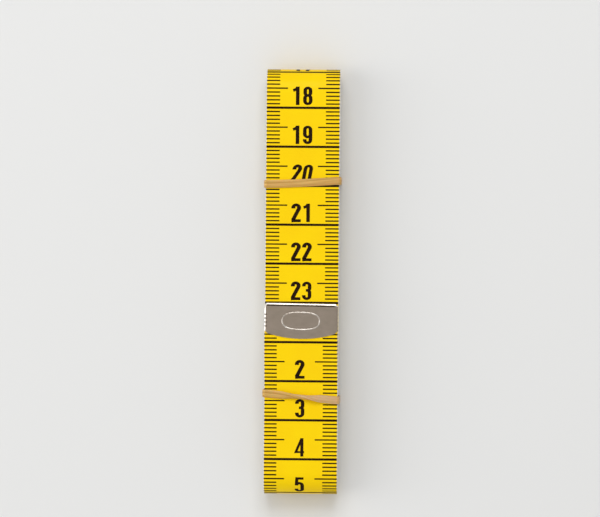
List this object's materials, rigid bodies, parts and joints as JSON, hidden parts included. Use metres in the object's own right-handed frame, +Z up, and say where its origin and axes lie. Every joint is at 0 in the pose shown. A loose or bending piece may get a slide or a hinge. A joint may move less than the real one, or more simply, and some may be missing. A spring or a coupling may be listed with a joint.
{
  "type": "cloth tape measure",
  "caption": "Narrow coated-cloth sewing tape measure with metal tips, wound flat into an oblong bundle and held by rubber bands.",
  "frame": {"origin": "middle of the bundle's footprint, on the plane that the undersides of the rubber bands lie on", "axes": "+X across the tape, to the right of the numbers; +Y along the bundle, towards the tops of the numbers; +Z up through the layers, towards the numbered face"},
  "size_m": [0.0198, 0.1092, 0.0126],
  "materials": {
    "coated_cloth": "satin yellow coating on woven cloth, printed in black",
    "nickel_plate": "satin nickel-plated sheet steel",
    "band_rubber": "translucent natural rubber"
  },
  "bodies": {
    "bundle": {"tape_winding": "coated_cloth", "end_tip": "nickel_plate"},
    "free_end": {"tape_free_end": "coated_cloth", "start_tip": "nickel_plate"},
    "upper_band": {"upper_rubber_band": "band_rubber"},
    "lower_band": {"lower_rubber_band": "band_rubber"}
  },
  "joints": [
    {"name": "free_end_lift", "type": "hinge", "parent": "bundle", "child": "free_end", "pos_m": [0, -0.02651, 0.01208], "axis": [1, 0, 0], "range_deg": [0, 120], "stiffness_Nm_per_rad": 0.001},
    {"name": "upper_band_slide", "type": "slide", "parent": "bundle", "child": "upper_band", "axis": [0, 1, 0], "range_m": [-0.028, 0.036]},
    {"name": "lower_band_slide", "type": "slide", "parent": "bundle", "child": "lower_band", "axis": [0, -1, 0], "range_m": [0, 0.032]}
  ]
}
